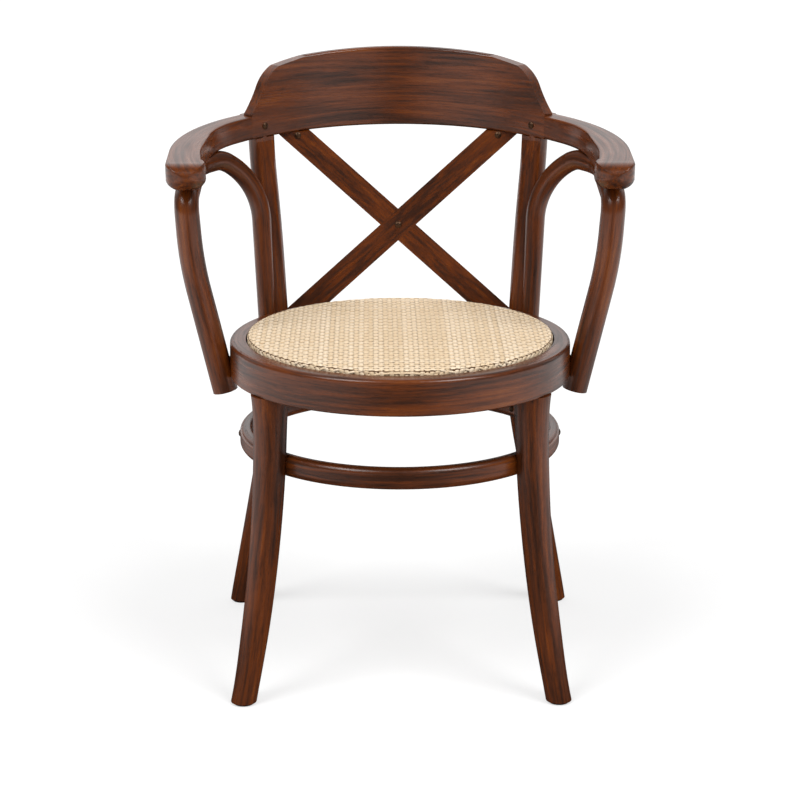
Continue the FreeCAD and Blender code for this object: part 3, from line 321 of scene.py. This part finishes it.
def bent_at_waist(side):
    """Grain of a rod of two straights that meet in a wide bend."""
    below = (POST_WAIST - POST_FOOT) / (POST_WAIST.z - POST_FOOT.z)
    above = (POST_TOP - POST_WAIST) / (POST_TOP.z - POST_WAIST.z)

    def grain(tree):
        place = add_node(tree, "TexCoord").outputs["Object"]
        split = add_node(tree, "SeparateXYZ", {0: place})
        rise = add_node(tree, "Math", {0: split.outputs["Z"], 1: POST_WAIST.z},
                        operation="SUBTRACT")
        off = []
        for axis, sign in (("x", side), ("y", 1)):
            low = getattr(below, axis)
            high = getattr(above, axis)
            bend = add_node(tree, "Math", {0: rise.outputs[0], 1: (high - low) / 2},
                            operation="MULTIPLY")
            bend = add_node(tree, "Math", {0: bend.outputs[0], 1: bend.outputs[0],
                                           2: POST_EASE ** 2}, operation="MULTIPLY_ADD")
            bend = add_node(tree, "Math", {0: bend.outputs[0]}, operation="SQRT")
            line = add_node(tree, "Math", {0: rise.outputs[0], 1: (high + low) / 2,
                                           2: bend.outputs[0]}, operation="MULTIPLY_ADD")
            own = add_node(tree, "Math", {0: split.outputs[axis.upper()], 1: sign},
                           operation="MULTIPLY")
            off.append(add_node(tree, "Math", {0: own.outputs[0], 1: line.outputs[0]},
                                operation="SUBTRACT").outputs[0])
        return add_node(tree, "CombineXYZ", {
            "X": split.outputs["Z"], "Y": off[0], "Z": off[1]}).outputs[0]
    return grain


for side, name in ((1, "left"), (-1, "right")):
    finish_cad(f"rear_post_{name}", stained_beech(
        f"rear post {name}", bent_at_waist(side), 7.0 + side))

# The hoop stretcher: a round-edged beech strip bent to a ring and let into the four legs
# from inside, with a screw into each. It keeps them from spreading.
hoop_low, hoop_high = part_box("hoop_stretcher")
hoop_middle = middle_of("hoop_stretcher")
finish_cad("hoop_stretcher", stained_beech("hoop stretcher", bent_round(
    (hoop_middle.x, hoop_middle.y), (hoop_high.x - hoop_low.x) / 2), 11.0))

# The back bow: the rail with the crest glued on it, and the arms that go on from it. All
# of it is bent to one curve that rises to the back.
BOW_RADIUS = 0.283
BOW_THICK = 0.025
BOW_TILT = math.radians(6)
bow_centre = (0.0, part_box("back_rail")[1].y - BOW_RADIUS - BOW_THICK)
finish_cad("back_rail", stained_beech("back rail", bent_round(
    bow_centre, BOW_RADIUS, BOW_TILT, -1), 13.0))
finish_cad("crest", stained_beech("crest", bent_round(bow_centre, BOW_RADIUS, joint=-1), 17.0))
ARM_BEND = 0.242
ARM_CENTRE = Vector((0.038, 0.038))
for side, name in ((1, "left"), (-1, "right")):
    arm_centre = (side * ARM_CENTRE.x, bow_centre[1] + ARM_CENTRE.y)
    finish_cad(f"arm_{name}", stained_beech(f"arm {name}", bent_round(
        arm_centre, ARM_BEND, BOW_TILT, -1), 19.0 + side))

# The arms' front ends: each arm is carried over from the built one, and its end is
# rounded to a knob that runs into the flat top and the sides. The lower half is drawn
# to an oval round the knob's middle, and the nose closes in front of it.
NOSE_LENGTH = 0.0255
NOSE_STEPS = 14
NOSE_FULL = 0.9
KNOB_WIDE = 0.0265
KNOB_DEEP = 0.0195
KNOB_SQUARE = 2.2
KNOB_START = 0.034
KNOB_SLICES = 9
KNOB_IN = 0.026
KNOB_DOWN = 0.0175
KNOB_EASE = 0.005
MERGE = 0.00002
SHARP = math.radians(40)


def smooth_step(value):
    """0 to 1 as value goes from 0 to 1, level at both ends."""
    value = min(max(value, 0.0), 1.0)
    return value * value * (3 - 2 * value)


def show(name, shape, material, node):
    """Make a shown piece of stained wood from a bmesh, in place of a CAD node."""
    for face in shape.faces:
        face.smooth = True
    for edge in shape.edges:
        edge.smooth = len(edge.link_faces) != 2 or edge.calc_face_angle() < SHARP
    mesh = bpy.data.meshes.new(name)
    shape.to_mesh(mesh)
    shape.free()
    mesh.materials.append(material)
    piece = bpy.data.objects.new(name, mesh)
    bpy.context.scene.collection.objects.link(piece)
    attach(piece, "root")
    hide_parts(node)


for side, name in ((1, "left"), (-1, "right")):
    shape = bmesh.new()
    shape.from_mesh(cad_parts[f"arm_{name}"].data)
    bmesh.ops.remove_doubles(shape, verts=shape.verts, dist=MERGE)
    cut_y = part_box(f"arm_{name}")[0].y + NOSE_LENGTH
    for k in range(KNOB_SLICES, -1, -1):
        bmesh.ops.bisect_plane(shape, geom=shape.verts[:] + shape.edges[:] + shape.faces[:],
                               plane_co=(0, cut_y + KNOB_START * k / KNOB_SLICES, 0),
                               plane_no=(0, -1, 0), clear_outer=k == 0)
    rim = [edge for edge in shape.edges if edge.is_boundary]
    middle_x = side * (max(abs(vert.co.x) for vert in shape.verts) - KNOB_IN)
    middle_z = max(vert.co.z for edge in rim for vert in edge.verts) - KNOB_DOWN
    for vert in shape.verts:
        near = smooth_step((cut_y + KNOB_START - vert.co.y) / KNOB_START)
        low = smooth_step((middle_z + KNOB_EASE - vert.co.z) / (2 * KNOB_EASE))
        if near * low > 0:
            spoke_x = vert.co.x - middle_x
            spoke_z = vert.co.z - middle_z
            reach = math.hypot(spoke_x, spoke_z)
            wanted = (abs(spoke_x / reach / KNOB_WIDE) ** KNOB_SQUARE
                      + abs(spoke_z / reach / KNOB_DEEP) ** KNOB_SQUARE) ** (-1 / KNOB_SQUARE)
            grown = 1 + near * low * (wanted / reach - 1)
            vert.co.x = middle_x + spoke_x * grown
            vert.co.z = middle_z + spoke_z * grown
    last = 1.0
    for step in range(1, NOSE_STEPS + 1):
        turn = math.pi / 2 * step / NOSE_STEPS
        part = max(math.cos(turn), 0.0) ** NOSE_FULL
        added = bmesh.ops.extrude_edge_only(shape, edges=rim)["geom"]
        rim = [item for item in added if isinstance(item, bmesh.types.BMEdge)]
        for vert in (item for item in added if isinstance(item, bmesh.types.BMVert)):
            vert.co.x = middle_x + (vert.co.x - middle_x) * part / last
            vert.co.z = middle_z + (vert.co.z - middle_z) * part / last
            vert.co.y = cut_y - NOSE_LENGTH * math.sin(turn)
        last = part
    bmesh.ops.remove_doubles(shape, verts=shape.verts, dist=MERGE)
    bmesh.ops.recalc_face_normals(shape, faces=shape.faces)
    show(f"arm_{name}_shaped", shape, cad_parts[f"arm_{name}"].data.materials[0],
         f"arm_{name}")


# The arm bows: one steamed and bent rod each, thickest at the foot. It rises from the
# ring's side to the knob, runs back under the arm and comes down beside the post. Each
# corner has its place, the radius of its bend and the rod's radius there.
BOW_CORNERS = (
    (Vector((0.2310, -0.054, 0.3920)), 0.0, 0.0165),
    (Vector((0.2718, -0.054, 0.5650)), 0.48, 0.0163),
    (Vector((0.2775, -0.054, 0.6490)), 0.024, 0.0161),
    (Vector((0.2715, 0.079, 0.6685)), 0.06, 0.0134),
    (Vector((0.2410, 0.109, 0.6724)), 0.03, 0.0134),
    (Vector((0.1907, 0.1346, 0.6390)), 0.092, 0.0132),
    (Vector((0.1805, 0.100, 0.4180)), 0.0, 0.0115),
)
ROD_SIDES = 40
ROD_STEP = 0.004


def rod_line():
    """Places and radii along the rod's middle: straights joined by tangent arcs."""
    line = [(BOW_CORNERS[0][0], BOW_CORNERS[0][2])]
    for previous, (corner, bend, thick), following in zip(BOW_CORNERS, BOW_CORNERS[1:],
                                                          BOW_CORNERS[2:]):
        before = (previous[0] - corner).normalized()
        after = (following[0] - corner).normalized()
        half = before.angle(after) / 2
        centre = corner + (before + after).normalized() * bend / math.sin(half)
        first = corner + before * bend / math.tan(half) - centre
        final = corner + after * bend / math.tan(half) - centre
        sweep = first.angle(final)
        count = max(6, int(sweep * bend / ROD_STEP))
        for k in range(count + 1):
            angle = sweep * k / count
            spoke = first * math.sin(sweep - angle) + final * math.sin(angle)
            line.append((centre + spoke / math.sin(sweep), thick))
    line.append((BOW_CORNERS[-1][0], BOW_CORNERS[-1][2]))
    return line


def along_rod(tree):
    """Grain that follows the rod, as it was noted when the rod was bent."""
    return add_node(tree, "Attribute", attribute_name="grain").outputs["Vector"]


rod = rod_line()
slices = []
across = Vector((0, -1, 0))
travelled = 0.0
for k, (spot, thick) in enumerate(rod):
    ahead = (rod[min(k + 1, len(rod) - 1)][0] - rod[max(k - 1, 0)][0]).normalized()
    across = (across - ahead * across.dot(ahead)).normalized()
    travelled += (spot - rod[max(k - 1, 0)][0]).length
    slices.append((spot, across * thick, ahead.cross(across) * thick, thick, travelled))
for side, name in ((1, "left"), (-1, "right")):
    shape = bmesh.new()
    grain = shape.verts.layers.float_vector.new("grain")
    bmesh.ops.create_grid(shape, x_segments=ROD_SIDES, y_segments=len(slices) - 1, size=0.5)
    for vert in shape.verts:
        turn = math.tau * (vert.co.x + 0.5)
        spot, out, up, thick, travelled = slices[round((vert.co.y + 0.5) * (len(slices) - 1))]
        place = spot + out * math.cos(turn) + up * math.sin(turn)
        vert[grain] = (travelled, math.cos(turn) * thick, math.sin(turn) * thick)
        vert.co = (side * place.x, place.y, place.z)
    bmesh.ops.remove_doubles(shape, verts=shape.verts, dist=MERGE)
    bmesh.ops.holes_fill(shape, edges=[edge for edge in shape.edges if edge.is_boundary], sides=0)
    bmesh.ops.recalc_face_normals(shape, faces=shape.faces)
    show(f"arm_bow_{name}_bent", shape, stained_beech(f"arm bow {name}", along_rod, 23.0 + side),
         f"arm_bow_{name}")


# The cross slats: two flat bars of beech, half lapped where they cross, dowelled to the
# rail above and screwed to the back of the seat ring at their feet.
def straight(direction):
    """Grain along a straight direction."""
    way = direction.normalized()
    across = way.cross(Vector((0, 1, 0))).normalized()
    through = way.cross(across)

    def grain(tree):
        place = add_node(tree, "TexCoord").outputs["Object"]
        shares = [add_node(tree, "VectorMath", {0: place, 1: tuple(axis)},
                           operation="DOT_PRODUCT").outputs["Value"]
                  for axis in (way, across, through)]
        return add_node(tree, "CombineXYZ", {
            "X": shares[0], "Y": shares[1], "Z": shares[2]}).outputs[0]
    return grain


SLAT_SLOPE = math.radians(41.7)
for side, name in ((1, "front"), (-1, "rear")):
    way = Vector((side * math.cos(SLAT_SLOPE), 0.0, math.sin(SLAT_SLOPE)))
    finish_cad(f"cross_slat_{name}", stained_beech(
        f"{name} cross slat", straight(way), 29.0 + side))

# Screws, bolts and nuts: turned steel with a chemical bronze finish. It looks nearly
# black, with small warm glints and a patina that is uneven from spot to spot.
bronzed, tree = blank_material("bronzed steel")
place = add_node(tree, "TexCoord").outputs["Object"]
patina = add_node(tree, "TexNoise", {"Vector": place, "Scale": 900.0, "Detail": 3.0})
tint = add_node(tree, "Mix", {0: patina.outputs["Fac"], 6: linear("#2c1d14"),
                              7: linear("#6a4d38")}, data_type="RGBA")
dull = add_node(tree, "MapRange", {"Value": patina.outputs["Fac"], "To Min": 0.3, "To Max": 0.55})
metal = add_node(tree, "BsdfPrincipled", {"Base Color": tint.outputs[2], "Metallic": 0.85,
                                          "Roughness": dull.outputs[0]})
add_node(tree, "OutputMaterial", {"Surface": metal.outputs[0]})
for node in ("rail_screws", "slat_pins", "cross_screw", "slat_foot_screws", "hoop_side_screws",
             "hoop_leg_screws", "post_bolts", "post_nuts", "bow_ring_screws", "bow_arm_screws",
             "board_screws"):
    finish_cad(node, bronzed)

# The dowels: bare turned beech, pale and dull with fine flecks along the grain. They are
# glued in blind holes.
bare, tree = blank_material("bare turned beech")
place = add_node(tree, "TexCoord").outputs["Object"]
placed = add_node(tree, "Mapping", {"Vector": place, "Scale": (900, 900, 60)})
fleck = add_node(tree, "TexNoise", {"Vector": placed.outputs[0], "Scale": 1.0, "Detail": 2.0})
tint = add_node(tree, "Mix", {0: fleck.outputs["Fac"], 6: linear("#b98f66"),
                              7: linear("#d3ab80")}, data_type="RGBA")
wood = add_node(tree, "BsdfPrincipled", {"Base Color": tint.outputs[2], "Roughness": 0.7})
add_node(tree, "OutputMaterial", {"Surface": wood.outputs[0]})
for node in ("slat_dowels", "arm_dowels", "crest_dowels"):
    finish_cad(node, bare)

# The seat board: a disc of plywood on the ring's ledge, under the cane. It is coloured
# dark as painted shade, so that the gaps in the weave read as shade.
ply, tree = blank_material("plywood coloured dark as painted shade")
place = add_node(tree, "TexCoord").outputs["Object"]
placed = add_node(tree, "Mapping", {"Vector": place, "Scale": (12, 220, 900)})
veneer = add_node(tree, "TexNoise", {"Vector": placed.outputs[0], "Scale": 1.0, "Detail": 4.0})
# Painted shade: the board's dark browns stand in for the shade seen through the weave's gaps.
tint = add_node(tree, "Mix", {0: veneer.outputs["Fac"], 6: linear("#4a3018"),
                              7: linear("#7d5a35")}, data_type="RGBA")
wood = add_node(tree, "BsdfPrincipled", {"Base Color": tint.outputs[2], "Roughness": 0.75})
add_node(tree, "OutputMaterial", {"Surface": wood.outputs[0]})
finish_cad("seat_board", ply)

# The woven seat: flat peel of rattan cane in a close plain weave. Upright strands run
# front to back and cross strands from side to side. The sheet is drawn over the board's
# rounded edge and tucked into the ring. Rattan peel is pale straw with a soft shine.
SHEET_IN = 0.0006
RIM_ROUND = 0.005
CROWN = 0.003
TUCK = 0.008
WARP_PITCH = 0.0064
WEFT_PITCH = 0.0085
WARP_WIDTH = 0.0063
WEFT_WIDTH = 0.0036
WARP_STEP = 0.0017
WEFT_STEP = 0.0021
PEEL_THICK = 0.0005
PEEL_ARCH = 0.00025
PEEL_SINK = 0.001
WARP_LIFT = 0.0005
WEFT_LIFT = 0.0002
EDGE_ROOM = 0.002
seat_low, seat_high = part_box("cane_seat")
seat_middle = middle_of("cane_seat")
shoulder = (seat_high.x - seat_low.x) / 2 - SHEET_IN - RIM_ROUND
rim_height = seat_high.z - CROWN
sheet_radius = shoulder + RIM_ROUND * math.pi / 2 + TUCK


def draped(flat_x, flat_y, lift):
    """Where a point of the flat woven sheet lies once it is drawn over the board."""
    reach = math.hypot(flat_x, flat_y)
    out = Vector((flat_x, flat_y, 0.0)) / max(reach, 1e-9)
    past = max(0.0, reach - shoulder)
    turn = min(past / RIM_ROUND, math.pi / 2)
    hang = max(0.0, past - RIM_ROUND * math.pi / 2)
    flat_reach = min(reach, shoulder)
    crown = CROWN * (1 - (flat_reach / shoulder) ** 2)
    height = rim_height + crown - RIM_ROUND * (1 - math.cos(turn)) - hang
    spot = out * (flat_reach + RIM_ROUND * math.sin(turn))
    normal = out * math.sin(turn) + Vector((0, 0, math.cos(turn)))
    return Vector((seat_middle.x, seat_middle.y, height)) + spot + normal * (lift - PEEL_SINK)


def weave(name, along_y, pitch, width, other_pitch, step):
    """All strands of one direction, each a flat arched strip that goes over and under.
    Upright strands note along one edge how far they dip: painted shade darkens that spot."""
    chance = random.Random(name)
    shape = bmesh.new()
    tone = shape.verts.layers.float.new("tone")
    depth = shape.verts.layers.float.new("depth")
    count = int((sheet_radius - EDGE_ROOM) / pitch)
    for i in range(-count, count + 1):
        offset = i * pitch
        half = math.sqrt(sheet_radius ** 2 - offset ** 2)
        strand_tone = chance.random()
        own_width = width * chance.uniform(0.94, 1.0)
        drift = chance.uniform(-0.03, 0.03) * pitch
        pieces = int(2 * half / step) + 4
        strip = bmesh.ops.create_grid(shape, x_segments=2, y_segments=pieces, size=0.5)
        for vert in strip["verts"]:
            share = 2 * vert.co.x
            sideways = offset + drift + vert.co.x * own_width
            run = 2 * half * vert.co.y
            wave = math.cos(math.pi * (run / other_pitch + i))
            arch = PEEL_ARCH * share ** 2
            vert[tone] = strand_tone
            if along_y:
                sunk = ((1 - wave) / 2) ** 2
                vert[depth] = sunk if share > 0.5 else 0.0
                vert.co = draped(sideways, run, WARP_LIFT * (1 - 2 * sunk) - arch)
            else:
                vert.co = draped(run, sideways, -WEFT_LIFT * wave - arch)
    for face in shape.faces:
        face.smooth = True
    mesh = bpy.data.meshes.new(name)
    shape.to_mesh(mesh)
    shape.free()
    piece = bpy.data.objects.new(name, mesh)
    bpy.context.scene.collection.objects.link(piece)
    peel = piece.modifiers.new("peel thickness", "SOLIDIFY")
    peel.thickness = PEEL_THICK
    peel.offset = -1.0
    return piece


FIBRE_WIDE = 0.0009
FIBRE_LONG = 0.03


def rattan_peel(name, along_y):
    """Peel of rattan: pale straw, each strand a little different, with fine fibres."""
    material, tree = blank_material("rattan peel, " + name)
    place = add_node(tree, "TexCoord").outputs["Object"]
    wide = 1 / FIBRE_WIDE
    long = 1 / FIBRE_LONG
    placed = add_node(tree, "Mapping", {
        "Vector": place, "Scale": (wide, long, wide) if along_y else (long, wide, wide)})
    fibre = add_node(tree, "TexNoise", {"Vector": placed.outputs[0], "Scale": 1.0, "Detail": 3.0})
    strand = add_node(tree, "Attribute", attribute_name="tone").outputs["Fac"]
    blend = add_node(tree, "Mix", {0: 0.5, 2: fibre.outputs["Fac"], 3: strand})
    ramp = add_node(tree, "ValToRGB", {0: blend.outputs[0]})
    ramp.color_ramp.elements[0].position = 0.2
    ramp.color_ramp.elements[0].color = linear("#e3c8a2")
    ramp.color_ramp.elements[1].position = 0.8
    ramp.color_ramp.elements[1].color = linear("#f4e0c4")
    # Painted shade: upright strands turn dark brown where they dip under a cross strand, standing
    # in for the shade in that recess.
    sunk = add_node(tree, "Attribute", attribute_name="depth").outputs["Fac"]
    painted_dip_shade = add_node(tree, "MapRange", {"Value": sunk, "From Min": 0.12, "From Max": 0.6,
                                       "To Min": 0.0, "To Max": 1.0})
    tint = add_node(tree, "Mix", {0: painted_dip_shade.outputs[0], 6: ramp.outputs["Color"],
                                  7: linear("#6b4523")}, data_type="RGBA")
    bump = add_node(tree, "Bump", {"Height": fibre.outputs["Fac"], "Strength": 0.3,
                                   "Distance": 0.0002})
    skin = add_node(tree, "BsdfPrincipled", {
        "Base Color": tint.outputs[2], "Roughness": 0.5, "Normal": bump.outputs[0]})
    add_node(tree, "OutputMaterial", {"Surface": skin.outputs[0]})
    return material


upright_strands = weave("cane_upright_strands", True, WARP_PITCH, WARP_WIDTH, WEFT_PITCH,
                        WARP_STEP)
upright_strands.data.materials.append(rattan_peel("front to back", True))
cross_strands = weave("cane_cross_strands", False, WEFT_PITCH, WEFT_WIDTH, WARP_PITCH, WEFT_STEP)
cross_strands.data.materials.append(rattan_peel("side to side", False))
for piece in (upright_strands, cross_strands):
    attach(piece, "root")
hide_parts("cane_seat")

# Foot glides: discs of black moulded nylon under the feet, dull and finely grained from
# the mould.
glide, tree = blank_material("black moulded nylon")
place = add_node(tree, "TexCoord").outputs["Object"]
grit = add_node(tree, "TexNoise", {"Vector": place, "Scale": 1500.0, "Detail": 2.0})
bump = add_node(tree, "Bump", {"Height": grit.outputs["Fac"], "Strength": 0.2,
                               "Distance": 0.0002})
plastic = add_node(tree, "BsdfPrincipled", {"Base Color": linear("#161514"), "Roughness": 0.55,
                                            "Normal": bump.outputs[0]})
add_node(tree, "OutputMaterial", {"Surface": plastic.outputs[0]})
finish_cad("foot_glides", glide)
